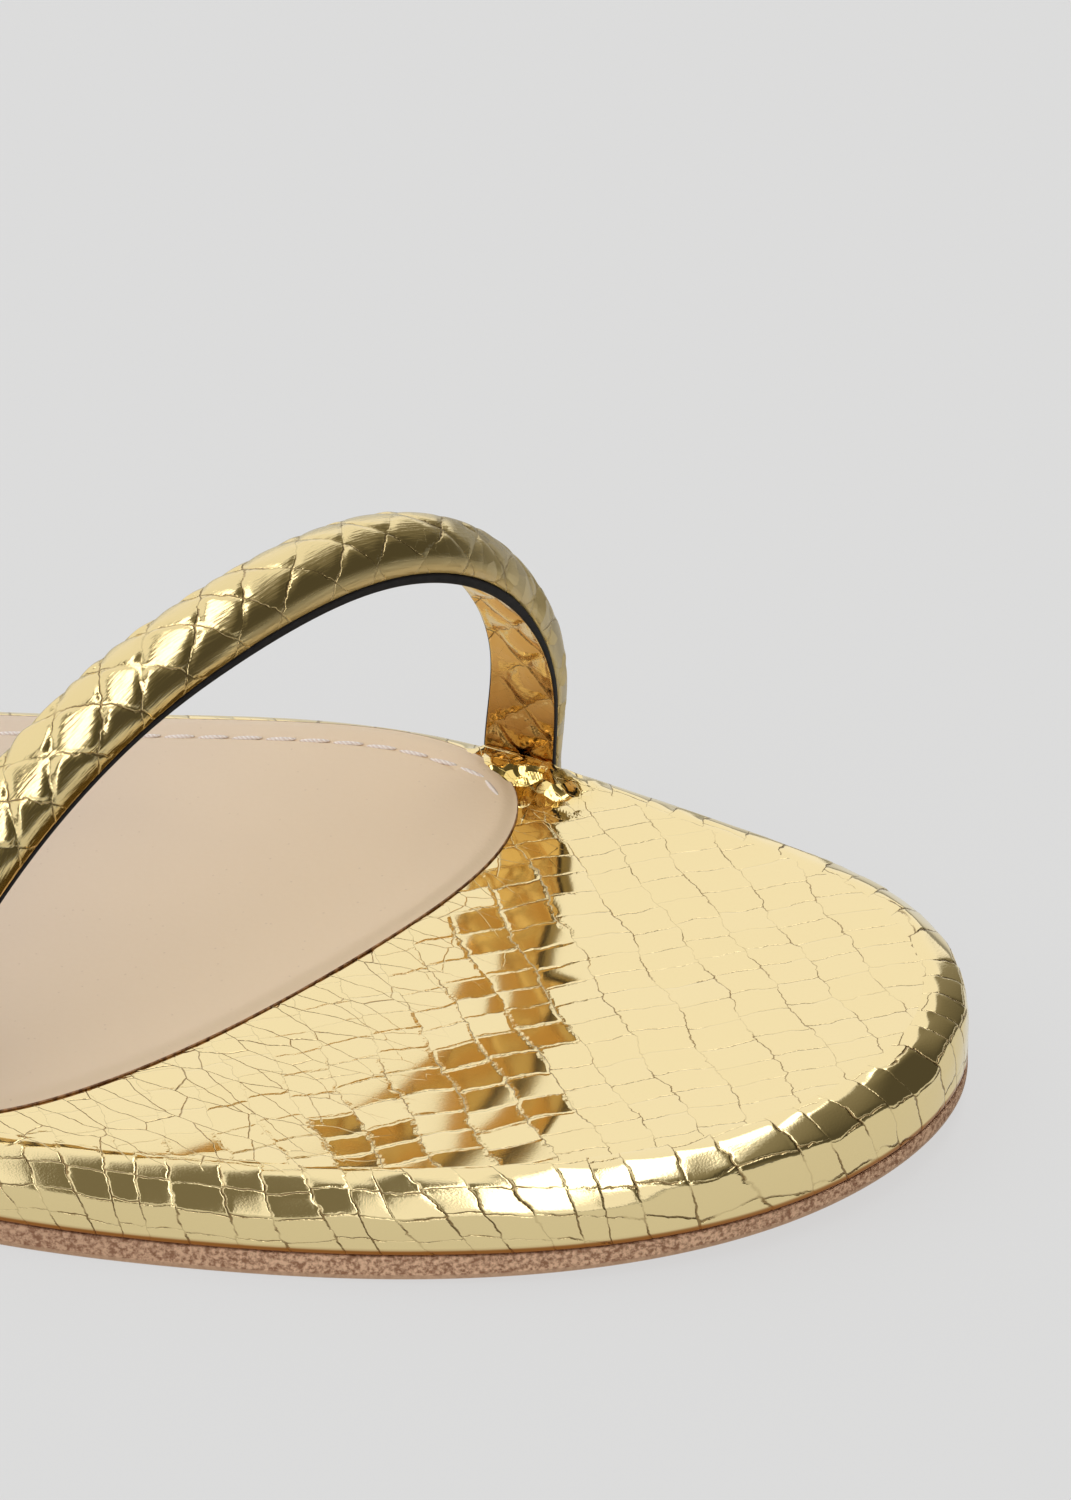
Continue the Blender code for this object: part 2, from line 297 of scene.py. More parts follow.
# Camera, as fitted to the photograph
CAMERA_ELEVATION = math.radians(34.18)
CAMERA_AZIMUTH = math.radians(19.87)
CAMERA_AIM = (182.46, 54.49, 0.0)
CAMERA_DISTANCE = 1500.0
CAMERA_LENS = 366.15
CAMERA_SENSOR = 36.0


def smoothstep(low, high, value):
    share = np.clip((value - low) / (high - low), 0.0, 1.0)
    return share * share * (3.0 - 2.0 * share)


def waves(at, rows):
    """Sum of sine waves; each row gives height, pace and start."""
    return sum(height * np.sin(pace * at + start) for height, pace, start in rows)


def unit(rows):
    return rows / np.linalg.norm(rows, axis=1)[:, None]


def chords(points):
    return np.linalg.norm(np.diff(points, axis=0), axis=1)


def running(steps):
    """Sum of the steps up to each point."""
    return np.concatenate(([0.0], np.cumsum(steps)))


def way_along(points):
    """Length of the way to each point of a line."""
    return running(chords(points))


def points_at(marks, way, points):
    """Points of a line at the given lengths of its way."""
    return np.stack([np.interp(marks, way, column) for column in points.T], axis=-1)


def underside(x):
    """Height of the sole's underside: flat heel, low arch, flat ball and toe spring."""
    arch_share = np.clip((x - HEEL_SEAT_END) / (BALL_START - HEEL_SEAT_END), 0.0, 1.0)
    arch = ARCH_RISE * 0.5 * (1.0 - np.cos(2.0 * np.pi * arch_share))
    spring_share = np.clip((x - TOE_SPRING_START) / (TOE_SPRING_END - TOE_SPRING_START), 0.0, None)
    return arch + TOE_SPRING_RISE * spring_share ** 2


def spline(knots, values, closed):
    """Cubic spline through rows of values: returns a function of an array of knot parameters."""
    steps = np.diff(knots)
    count = len(values)
    system = np.zeros((count, count))
    right = np.zeros_like(values)
    slopes = np.diff(values, axis=0) / steps[:, None]
    for row in range(1, count - 1):
        system[row, row - 1:row + 2] = steps[row - 1], 2.0 * (steps[row - 1] + steps[row]), steps[row]
        right[row] = 6.0 * (slopes[row] - slopes[row - 1])
    if closed:
        system[0, 0], system[0, -1] = 1.0, -1.0
        system[-1, 0] = 2.0 * (steps[0] + steps[-1])
        system[-1, 1] = steps[0]
        system[-1, -2] = steps[-1]
        right[-1] = 6.0 * (slopes[0] - slopes[-1])
    else:
        system[0, 0] = system[-1, -1] = 1.0
    bends = np.linalg.solve(system, right)

    def values_at(parameters):
        span = np.clip(np.searchsorted(knots, parameters, side="right") - 1, 0, count - 2)
        step = steps[span][:, None]
        after = (parameters - knots[span])[:, None] / step
        before = 1.0 - after
        curve = (before ** 3 - before) * bends[span] + (after ** 3 - after) * bends[span + 1]
        return before * values[span] + after * values[span + 1] + curve * step * step / 6.0

    return values_at


def knots_along(points):
    """Parameters that grow with the square root of each chord, so that the curve stays round."""
    return running(np.sqrt(chords(points)))


def closed_outline(points):
    """Dense points of the smooth closed outline through the given places."""
    loop = np.vstack([points, points[:1]])
    knots = knots_along(loop)
    return spline(knots, loop, closed=True)(np.linspace(0.0, knots[-1], OUTLINE_SAMPLES, endpoint=False))


def outward(ring):
    along = np.roll(ring, -1, axis=0) - np.roll(ring, 1, axis=0)
    return unit(np.stack([along[:, 1], -along[:, 0]], axis=1))


def insole_outline():
    """Front edge from its own rows, sides and heel from the sole's rows moved in by the margin."""
    names = [place for place, x, y in SOLE_OUTLINE]
    rows = np.array([(x, y) for place, x, y in SOLE_OUTLINE])
    sides = rows - outward(rows) * INSOLE_MARGIN
    back = sides[names.index(INSOLE_SIDE_FROM):names.index(INSOLE_SIDE_TO) + 1]
    return closed_outline(np.vstack([[(x, y) for place, x, y in INSOLE_FRONT], back]))


SOLE_EDGE = closed_outline(np.array([(x, y) for place, x, y in SOLE_OUTLINE]))
INSOLE_EDGE = insole_outline()
SHOE_ORIGIN = np.array([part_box("outsole")[0][0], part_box("outsole")[0][1], 0.0]) / MM
SHOE_ORIGIN[:2] -= SOLE_EDGE.min(axis=0)


def in_metres(points):
    """Places of the shoe's own frame in the scene's metres."""
    return (np.asarray(points) + SHOE_ORIGIN) * MM


def side_stations(side, columns):
    """Points and outward directions along one side from heel to toe, closer together in the front."""
    middle = 0.5 * (side[1:, 0] + side[:-1, 0])
    travel = running(chords(side[:, :2]) * np.where(middle > FRONT_START, FRONT_DENSITY, 1.0))
    return points_at(np.linspace(0.0, travel[-1], columns + 1), travel, side)


def edge_columns(outline, columns, back_end, front_end):
    """Edge points, outward directions and spine points: heel, outer side, toe, inner side, heel."""
    rows = np.hstack([outline, outward(outline)])
    toe = int(outline[:, 0].argmax())
    turned = np.roll(rows, -toe, axis=0)
    heel = int(turned[:, 0].argmin())
    inner = side_stations(turned[:heel + 1][::-1], columns)
    outer = side_stations(np.vstack([turned[heel:], turned[:1]]), columns)
    middle = 0.5 * (inner[:, :2] + outer[:, :2])
    spine_x = np.clip(middle[:, 0], back_end, front_end)
    spine = np.stack([spine_x, np.interp(spine_x, middle[:, 0], middle[:, 1])], axis=1)
    around = np.vstack([outer, inner[::-1][1:]])
    return around[:, :2], unit(around[:, 2:]), np.vstack([spine, spine[::-1][1:]])


def sole_places(columns, rows):
    """Places of a sole layer's sheet; each row gives share of the way from the spine, inset and height."""
    edge, normal, spine = columns
    places = np.zeros((len(edge), len(rows), 3))
    for j, (share, inset, height) in enumerate(rows):
        plan = spine + (edge - normal * np.reshape(inset, (-1, 1)) - spine) * share
        places[:, j, :2] = plan
        places[:, j, 2] = underside(plan[:, 0]) + height
    return places


def new_piece(name, bm, materials):
    """Object of the finished mesh, at the origin."""
    mesh = bpy.data.meshes.new(name)
    bm.to_mesh(mesh)
    bm.free()
    for material in materials:
        mesh.materials.append(material)
    piece = bpy.data.objects.new(name, mesh)
    bpy.context.collection.objects.link(piece)
    return piece


def bent_sheet(name, places, materials, lattice=None, marks=None, slot_of=None):
    """Flat sheet of faces bent to the given places, its seams merged, with its lattice as a UV map.

    marks holds named values from 0 to 1 for each point of the sheet, which the materials read.
    """
    columns, rows = places.shape[0] - 1, places.shape[1] - 1
    bm = bmesh.new()
    bmesh.ops.create_grid(bm, x_segments=columns, y_segments=rows, size=1.0)
    scales = bm.loops.layers.uv.new("scales")
    bm.verts.index_update()
    spots = [
        (round(0.5 * (vertex.co.x + 1.0) * columns), round(0.5 * (vertex.co.y + 1.0) * rows))
        for vertex in bm.verts
    ]
    for face in bm.faces:
        face.smooth = True
        if lattice is not None:
            for loop in face.loops:
                loop[scales].uv = lattice[spots[loop.vert.index]]
        if slot_of is not None:
            column = min(spots[vertex.index][0] for vertex in face.verts)
            row = min(spots[vertex.index][1] for vertex in face.verts)
            face.material_index = slot_of(column, row)
    metres = in_metres(places)
    layers = [(bm.verts.layers.float.new(mark), values) for mark, values in (marks or {}).items()]
    for vertex, spot in zip(bm.verts, spots):
        vertex.co = metres[spot]
        for layer, values in layers:
            vertex[layer] = values[spot]
    bmesh.ops.remove_doubles(bm, verts=bm.verts, dist=SEAM_MERGE)
    ends = [edge for edge in bm.edges if edge.is_boundary]
    if ends:
        bmesh.ops.holes_fill(bm, edges=ends, sides=0)
    bmesh.ops.recalc_face_normals(bm, faces=bm.faces)
    return new_piece(name, bm, materials)


# Relief of the gold leather

def scale_lattice(x, y):
    """Lattice of the sole's scales on the leather as it lies flat: one unit is one plate."""
    past = np.logaddexp(0.0, (x - PLATES_GROW_FROM) / PLATES_GROW_OVER) * PLATES_GROW_OVER
    drawn = x - PLATE_GROWTH * past
    u = (math.sin(LONG_LINES_TURN) * drawn + math.cos(LONG_LINES_TURN) * y) / PLATE_LONG
    v = (math.cos(CROSS_LINES_TURN) * y - math.sin(CROSS_LINES_TURN) * drawn) / PLATE_SHORT
    u = u + 0.10 * np.sin(0.21 * y + 0.13 * x) + 0.06 * np.sin(0.37 * x - 0.29 * y + 1.3)
    v = v + 0.12 * np.sin(0.17 * x - 0.23 * y + 0.7) + 0.06 * np.sin(0.41 * x + 0.33 * y)
    return np.stack([u, v], axis=-1)


def edge_plate_height(edge):
    """Height of the plates over the edge at each column."""
    return EDGE_PLATE_SHORT + EDGE_PLATE_GROWTH * smoothstep(*EDGE_PLATES_GROW, edge[:, :1])


def edge_lattice(edge, out):
    """Lattice where the leather is drawn over the sole's edge.

    Columns run along the edge and rows down over it; the plates are taller round the toe.
    """
    way = way_along(edge)
    turn = (2.0 * np.pi * way / way[-1])[:, None]
    count = round(way[-1] / EDGE_PLATE_LONG)
    down = out[None] / edge_plate_height(edge)
    u = count * turn / (2.0 * np.pi) + waves(turn, EDGE_COLUMN_WAVES)
    u = u - down * (EDGE_SLANT + waves(turn, EDGE_SLANT_WAVES))
    v = down - EDGE_ROWS_FROM - waves(turn, EDGE_ROW_WAVES)
    return np.stack([u + EDGE_LATTICE_SHIFT, v], axis=-1)


def staggered(lattice, stagger):
    """Columns and rows of a lattice, its rows shifted from column to column."""
    u = lattice[..., 0]
    return u, lattice[..., 1] + stagger * ((np.floor(u) * COLUMN_STEP) % 1.0)


def plate_relief(lattice, stagger, square, flat):
    """Pillow of each plate, 0 in the grooves and 1 in the middle, some plates lower than others.

    square rounds the plate's corners off less as it grows, and flat rounds its top less.
    """
    u, v = staggered(lattice, stagger)
    across = 2.0 * np.abs(u - np.floor(u) - 0.5)
    along = 2.0 * np.abs(v - np.floor(v) - 0.5)
    off = (across ** square + along ** square) ** (1.0 / square)
    lot = np.sin(12.9898 * np.floor(u) + 78.233 * np.floor(v)) * 43758.5453
    return np.clip(1.0 - off ** flat, 0.0, None) * (0.7 + 0.5 * (lot - np.floor(lot)))


def edge_relief(edge, lattice, lean):
    """Lift of the plates over the edge: each is pulled flat across the rounding, with creases between."""
    _, v = staggered(lattice, EDGE_STAGGER)
    from_middle = (v - np.floor(v) - 0.5) * edge_plate_height(edge)
    rounded = smoothstep(0.1, 0.5, lean) * (1.0 - smoothstep(1.2, 1.5, lean))
    pulled = EDGE_FLATTENING_BEHIND
    pulled = pulled + (EDGE_FLATTENING - pulled) * smoothstep(*EDGE_FLATTENS, edge[:, :1])
    return pulled * rounded[None] * from_middle ** 2 / (2.0 * FOOTBED_EDGE_RADIUS)


def gathered(x, y):
    """How much the leather is crumpled, from 1 in front of the strap's inner foot to 0 away from it."""
    off = ((x - GATHER_PLACE[0]) / GATHER_REACH[0]) ** 2 + ((y - GATHER_PLACE[1]) / GATHER_REACH[1]) ** 2
    return np.exp(-off ** 2)


def foot_wrinkles(x, y):
    """Short ridges of gathered leather in front of the strap's inner foot."""
    rise = np.zeros_like(x)
    for x0, y0, x1, y1, width, height in FOOT_WRINKLES:
        along = np.array([x1 - x0, y1 - y0])
        share = np.clip(((x - x0) * along[0] + (y - y0) * along[1]) / (along @ along), 0.0, 1.0)
        off = np.hypot(x - x0 - share * along[0], y - y0 - share * along[1])
        rise += height * np.exp(-(off / width) ** 2) * (1.0 - 0.6 * share)
    return rise


# Pieces

def outsole_top(x):
    """Height of the outsole's top above its underside: the edge is skived thinner round the toe."""
    return OUTSOLE_TOP - OUTSOLE_TOE_THINNING * smoothstep(*OUTSOLE_THINS, x)


def build_outsole(material):
    columns = edge_columns(SOLE_EDGE, EDGE_COLUMNS // 2, *SOLE_SPINE)
    top = outsole_top(columns[0][:, 0])
    rows = [(0.0, 0.0, top), (0.9, 0.0, top), (1.0, 0.2, top)]
    rows += [(1.0, 0.05, top - 0.05), (1.0, 0.0, top - 0.2)]
    rows += [(1.0, 0.0, 0.6 + share * (top - 0.8)) for share in (0.75, 0.5, 0.25, 0.1)]
    rim_row = len(rows)
    rows += [(1.0, 0.0, 0.6), (1.0, 0.02, 0.4), (1.0, 0.15, 0.15), (1.0, 0.5, 0.0)]
    rows += [(0.9, 0.0, 0.0), (0.0, 0.0, 0.0)]
    places = sole_places(columns, rows)
    rim = np.repeat((np.arange(len(rows)) >= rim_row).astype(float)[None], len(places), axis=0)
    return bent_sheet("outsole_leather", places, [material], marks={"rim": rim})


def strap_notches(edge):
    """How far the footbed's edge steps in at each column to take the strap's ends."""
    notch = np.zeros(len(edge))
    for x, inner in ((STRAP_INNER_X, True), (STRAP_OUTER_X, False)):
        place, away = strap_foot(x, inner)
        off = (edge - place) @ np.array([-away[1], away[0]])
        near = np.linalg.norm(edge - place, axis=1) < NOTCH_REACH
        notch += near * (1.0 - smoothstep(*NOTCH_SIDE, np.abs(off))) * NOTCH_DEPTH
    return notch


def footbed_rows(notch, bottom):
    """Rows of the wrap from the spine over the edge to the tuck: place, lean, way out over the edge, pillow.

    In the notches the edge is turned down sharply, close to the strap.
    """
    radius = FOOTBED_EDGE_RADIUS
    bend = radius + (NOTCH_EDGE_RADIUS - radius) * notch / NOTCH_DEPTH
    closer = 1.0 - np.linspace(1.0, 0.0, 48)[:-1] ** 1.3
    rows = [((share, notch + bend, FOOTBED_TOP), 0.0, 0.0, 0.0) for share in closer]
    rows.append(((1.0, notch + bend, FOOTBED_TOP), 0.0, 0.0, 0.0))
    for angle in np.linspace(0.0, 0.5 * np.pi, 21):
        place = (1.0, notch + bend * (1.0 - math.sin(angle)), FOOTBED_TOP - bend * (1.0 - math.cos(angle)))
        swell = smoothstep(0.0, 0.7, angle) * (1.0 - 0.5 * smoothstep(1.1, 1.57, angle))
        rows.append((place, angle, radius * angle, EDGE_PILLOW * float(swell)))
    side_top = FOOTBED_TOP - bend
    tuck_top = bottom + FOOTBED_TUCK
    reach = radius * 0.5 * np.pi
    fall = FOOTBED_TOP - radius - float(tuck_top.max())
    for share in (0.2, 0.4, 0.6, 0.75, 0.84, 0.92, 1.0):
        place = (1.0, notch, side_top + share * (tuck_top - side_top))
        rows.append((place, 0.5 * np.pi, reach + share * fall, SIDE_PILLOW))
    for angle in np.linspace(0.0, 0.5 * np.pi, 5)[1:]:
        inset = notch + FOOTBED_TUCK * (1.0 - math.cos(angle))
        place = (1.0, inset, tuck_top - FOOTBED_TUCK * math.sin(angle))
        rows.append((place, 0.5 * np.pi + angle, reach + fall + FOOTBED_TUCK * angle, 0.0))
    for share in (0.9, 0.0):
        rows.append(((share, 0.0, bottom), np.pi, reach + fall + 2.0, 0.0))
    return rows


def build_footbed(material):
    edge, normal, _ = columns = edge_columns(SOLE_EDGE, EDGE_COLUMNS, *SOLE_SPINE)
    bottom = outsole_top(edge[:, 0]) + WRAP_GAP
    rows = footbed_rows(strap_notches(edge), bottom)
    places = sole_places(columns, [row[0] for row in rows])
    above = places[..., 2] - underside(places[..., 0]) - bottom[:, None]
    lean, out, pillow = np.array([row[1:] for row in rows]).T
    top_rows = int(np.argmax([place[0] == 1.0 for place, *rest in rows])) + 1
    flat = places[:, :top_rows, :2]
    top = scale_lattice(flat[..., 0], flat[..., 1])
    over = edge_lattice(edge, out[top_rows:])
    lattice = np.concatenate([top, over], axis=1)
    lift = np.zeros(places.shape[:2])
    lift[:, top_rows:] = (plate_relief(over, EDGE_STAGGER, 10.0, 9.0) - 0.5) * pillow[top_rows:]
    lift[:, top_rows:] += edge_relief(edge, over, lean[top_rows:])
    crumple = gathered(places[..., 0], places[..., 1]) * (lean < 0.5 * np.pi)
    lift += foot_wrinkles(places[..., 0], places[..., 1]) * (lean < 0.5 * np.pi)
    lean_of = np.minimum(lean, 0.5 * np.pi)
    places[..., :2] += normal[:, None, :] * (lift * np.sin(lean_of))[..., None]
    places[..., 2] += lift * np.cos(lean_of)
    # The tuck mark is where the wrap's colour is painted darker brown, as painted shade against the outsole.
    marks = {
        "edge": np.repeat(smoothstep(0.05, 0.5, lean)[None], len(edge), axis=0),
        "tuck": 1.0 - smoothstep(0.6, 0.95, above),
        "crumple": crumple,
    }
    return bent_sheet("footbed_wrap", places, [material], lattice, marks)


def stitched_run():
    """Points of the insole's seam from its front end along the inner side and the heel to the outer start.

    At the front end the seam drifts towards the edge.
    """
    line = INSOLE_EDGE - outward(INSOLE_EDGE) * STITCH_INSET
    first = int(np.linalg.norm(line - STITCH_FROM, axis=1).argmin())
    line = np.roll(line, -first, axis=0)
    last = int(np.linalg.norm(line - STITCH_TO, axis=1).argmin())
    drift = STITCH_END_DRIFT * (1.0 - smoothstep(0.0, STITCH_END_REACH, way_along(line)))
    line = line + np.roll(outward(INSOLE_EDGE), -first, axis=0) * drift[:, None]
    return line[:last]


def build_insole(material, cut_edge):
    edge, normal, _ = columns = edge_columns(INSOLE_EDGE, INSOLE_COLUMNS, *INSOLE_SPINE)
    seam_from = STITCH_INSET + 0.6
    rows = [(share, seam_from, INSOLE_TOP) for share in np.linspace(0.0, 1.0, 38)]
    run = stitched_run()
    seam_point = edge - normal * STITCH_INSET
    stitched = np.array([np.linalg.norm(run - point, axis=1).min() < 0.5 for point in seam_point], float)
    for inset in (4.0, 3.85, 3.7, 3.55, 3.4, 3.1, 2.5, 2.0, 1.6, 1.2, 0.9, 0.6, 0.3, 0.1):
        groove = STITCH_GROOVE * stitched * math.exp(-((inset - STITCH_INSET) / 0.22) ** 2)
        skive = INSOLE_SKIVE * float(1.0 - smoothstep(0.0, INSOLE_SKIVE_WIDTH, inset))
        rows.append((1.0, inset, INSOLE_TOP - groove - skive))
    cut_row = len(rows)
    rows += [(1.0, 0.0, INSOLE_TOP - INSOLE_SKIVE - 0.02), (1.0, 0.0, INSOLE_TOP - INSOLE_SKIVE - 0.08)]
    rows += [(1.0, 0.0, INSOLE_BOTTOM), (0.9, 0.0, INSOLE_BOTTOM), (0.0, 0.0, INSOLE_BOTTOM)]
    return bent_sheet(
        "insole_sock", sole_places(columns, rows), [material, cut_edge],
        slot_of=lambda column, row: 1 if row >= cut_row - 1 else 0,
    )


def build_stitches(material):
    """Row of thread stitches, each a small bead drawn long, its ends sunk into the seam's groove."""
    run = stitched_run()
    way = way_along(run)
    bm = bmesh.new()
    for middle in np.arange(0.5 * STITCH_PITCH, way[-1], STITCH_PITCH):
        x, y = points_at(middle, way, run)
        ahead = points_at(middle + 0.5, way, run) - points_at(middle - 0.5, way, run)
        height = float(underside(np.array(x))) + INSOLE_TOP - 0.05
        place = Vector(in_metres((x, y, height)))
        turn = Matrix.Rotation(math.atan2(ahead[1], ahead[0]) + STITCH_SLANT, 4, "Z")
        size = Matrix.Diagonal((0.5 * STITCH_LONG * MM, 0.5 * STITCH_WIDE * MM, 0.5 * STITCH_HIGH * MM, 1.0))
        bmesh.ops.create_uvsphere(
            bm, u_segments=8, v_segments=6, radius=1.0,
            matrix=Matrix.Translation(place) @ turn @ size @ Matrix.Rotation(0.5 * math.pi, 4, "Y"),
        )
    for face in bm.faces:
        face.smooth = True
    bmesh.ops.recalc_face_normals(bm, faces=bm.faces)
    return new_piece("insole_stitches", bm, [material])


def strap_foot(x, inner):
    """Point of the sole's edge where the strap goes down, with its outward direction."""
    on_side = (SOLE_EDGE[:, 1] > 0.0) == inner
    index = int(np.where(on_side, np.abs(SOLE_EDGE[:, 0] - x), np.inf).argmin())
    return SOLE_EDGE[index], outward(SOLE_EDGE)[index]


def strap_landing(x, inner):
    """Rows of the strap where it goes straight down the sole's edge, from the tuck up."""
    place, away = strap_foot(x, inner)
    face = place - away * STRAP_INSET
    along = (away[1], -away[0]) if inner else (-away[1], away[0])
    turn = math.degrees(math.atan2(along[1], along[0]))
    foot = float(underside(np.array(x))) + STRAP_FOOT_BOTTOM
    return [
        (face[0], face[1], foot, turn, STRAP_FOOT_THICKNESS),
        (face[0], face[1], STRAP_STRAIGHT_TOP, turn, STRAP_EDGE_THICKNESS),
    ]


def strap_frames(count):
    """Evenly spaced places on the lining's face, with width and outward axes, thickness and way along."""
    arch = [(x, y, z, turn, STRAP_THICKNESS) for place, x, y, z, turn in STRAP_ARCH]
    rows = np.array(strap_landing(STRAP_INNER_X, True) + arch + strap_landing(STRAP_OUTER_X, False)[::-1])
    knots = knots_along(rows[:, :3])
    curve = spline(knots, rows, closed=False)
    fine = np.linspace(0.0, knots[-1], OUTLINE_SAMPLES)
    lengths = way_along(curve(fine)[:, :3])
    way = np.linspace(0.0, lengths[-1], count)
    marks = np.interp(way, lengths, fine)
    at = curve(marks)
    step = 0.001 * knots[-1]
    ahead = curve(np.minimum(marks + step, knots[-1])) - curve(np.maximum(marks - step, 0.0))
    ahead = unit(ahead[:, :3])
    turn = np.radians(at[:, 3])
    across = np.stack([np.cos(turn), np.sin(turn), np.zeros(count)], axis=1)
    across = unit(across - ahead * np.sum(across * ahead, axis=1)[:, None])
    return at[:, :3], across, np.cross(ahead, across), np.minimum(at[:, 4], STRAP_THICKNESS), way


def resampled(points, count):
    """Points spaced evenly along a closed section, with their way along it."""
    loop = np.vstack([points, points[:1]])
    way = way_along(loop)
    marks = np.linspace(0.0, way[-1], count + 1)
    return points_at(marks, way, loop), marks


def swept_places(frames, u, v):
    """Places of a section swept along the strap; u across the strap, v out from the lining's face."""
    place, across, away = frames[:3]
    return place[None] + across[None] * u[..., None] + away[None] * v[..., None]


def edge_thinning(way):
    """Share by which the painted edge thins, from the crown towards both feet."""
    share = way / way[-1]
    inner = EDGE_TAPER_AT_INNER * (1.0 - smoothstep(*EDGE_THINS_INNER, share))
    return np.maximum(np.maximum(smoothstep(*EDGE_THINS_OUTER, share), inner), EDGE_TAPER_AT_CROWN)


def build_strap(material):
    frames = strap_frames(STRAP_ROWS)
    half = 0.5 * STRAP_WIDTH
    dome = STRAP_THICKNESS - STRAP_BASE - STRAP_SIDE
    bend = np.linspace(0.0, 0.5 * np.pi, 6)
    right = [
        (half - STRAP_CORNER * (1.0 - math.sin(a)), STRAP_BASE + STRAP_CORNER * (1.0 - math.cos(a)), 0.0)
        for a in bend
    ]
    top = [(half * math.cos(a), STRAP_BASE + STRAP_SIDE, math.sin(a)) for a in np.linspace(0.0, np.pi, 181)]
    left = [(-u, v, d) for u, v, d in right[::-1]]
    profile = np.array([(0.0, STRAP_BASE, 0.0)] + right + top + left)
    profile[:, 2] *= dome
    section, arc = resampled(np.column_stack([profile[:, 0], profile[:, 1] + profile[:, 2]]), STRAP_COLUMNS)
    lifted = np.clip(section[:, 1] - STRAP_BASE - STRAP_SIDE, 0.0, None)
    low = section[:, 1] - lifted
    from_crown = arc - 0.5 * arc[-1]
    thickness, way = frames[3:]
    rise = (thickness - STRAP_BASE - STRAP_SIDE) / dome
    v = low[:, None] + lifted[:, None] * rise[None]
    u = section[:, :1] - STRAP_LEAN * lifted[:, None] * rise[None]
    share = way / way[-1]
    off_row = from_crown[:, None] - STRAP_ROW_SHIFT + waves(way, STRAP_ROW_WAVES)[None]
    uneven = (way + waves(way, STRAP_COLUMN_WAVES))[None]
    lattice = np.stack([(uneven + off_row) / STRAP_PLATE, (uneven - off_row) / STRAP_PLATE], axis=-1)
    off_middle = off_row - 0.5 * STRAP_PLATE * (np.floor(lattice[..., 0]) - np.floor(lattice[..., 1]))
    fade = smoothstep(0.0, 1.2, lifted)[:, None]
    outer = smoothstep(*STRAP_OUTER, share)[None]
    pillow = STRAP_CROWN_PILLOW + (STRAP_PILLOW - STRAP_CROWN_PILLOW) * outer
    flattening = STRAP_FLATTENING * (0.4 + 0.6 * outer) * off_middle ** 2 / (2.0 * STRAP_DOME_RADIUS)
    lift = (plate_relief(lattice, 0.0, 3.8, 5.0) * (pillow + flattening) - 0.5 * pillow) * fade
    low_share = 1.0 - smoothstep(0.0, 1.6, section[:, 1] - STRAP_BASE)
    v = v - EDGE_TAPER * edge_thinning(way)[None] * low_share[:, None]
    facing = outward(section[:-1])
    facing = np.vstack([facing, facing[:1]])
    u = u + facing[:, :1] * lift
    v = v + facing[:, 1:] * lift
    worn = (1.0 - smoothstep(*STRAP_WORN, share))[None]
    worn_low = (1.0 - smoothstep(*STRAP_WORN_UP, lifted))[:, None]
    worn_low = worn_low * (1.0 - smoothstep(*STRAP_WORN_LOW, share))[None]
    # painted reflection: the strap's lower edge is tinted orange as if mirroring the insole
    fringe_reflection = (1.0 - smoothstep(*STRAP_FRINGE_UP, lifted))[:, None]
    marks = {
        "edge": np.repeat(fade, STRAP_ROWS, axis=1),
        "fringe_reflection": fringe_reflection * smoothstep(*STRAP_FRINGE, share)[None],
        "worn": np.maximum(worn, 0.8 * worn_low),
        "crumple": 0.35 * worn * np.ones_like(fade),
    }
    strap = bent_sheet("strap_upper", swept_places(frames, u, v), [material], lattice, marks)
    return strap


def build_lining(material, edge_paint):
    frames = strap_frames(STRAP_ROWS)
    half = 0.5 * STRAP_WIDTH
    face = [(u, 0.0) for u in np.linspace(-half + 0.15, half - 0.15, 31)]
    side = [(half, v) for v in np.linspace(0.15, LINING_EDGE - 0.1, 6)]
    other = [(-u, v) for u, v in side[::-1]]
    section = np.array(face + side + [(half - 0.1, LINING_EDGE), (0.1 - half, LINING_EDGE)] + other)
    section = np.vstack([section, section[:1]])
    way = frames[4]
    u = np.repeat(section[:, :1], STRAP_ROWS, axis=1)
    v = section[:, 1:] * (1.0 - EDGE_TAPER / LINING_EDGE * edge_thinning(way)[None])
    lattice = np.stack([(way[None] + u) / STRAP_PLATE, (way[None] - u) / STRAP_PLATE], axis=-1)
    hollow = (1.0 - plate_relief(lattice, 0.0, 3.0, 2.0)) * LINING_PILLOW
    inside = 1.0 - smoothstep(half - 0.9, half - 0.2, np.abs(section[:, :1]))
    v = np.where(section[:, 1:] == 0.0, hollow * inside, v)
    face_columns = len(face) - 1
    places = swept_places(frames, u, v)
    # painted shade and gold-on-gold reflection: the lining darkens towards the footbed
    low = 1.0 - smoothstep(*LINING_DARKENS, places[..., 2])
    return bent_sheet(
        "strap_lining_strip", places, [material, edge_paint], lattice,
        marks={"low": low, "crumple": 0.09 * low},
        slot_of=lambda column, row: 0 if column < face_columns else 1,
    )


# Shader helpers

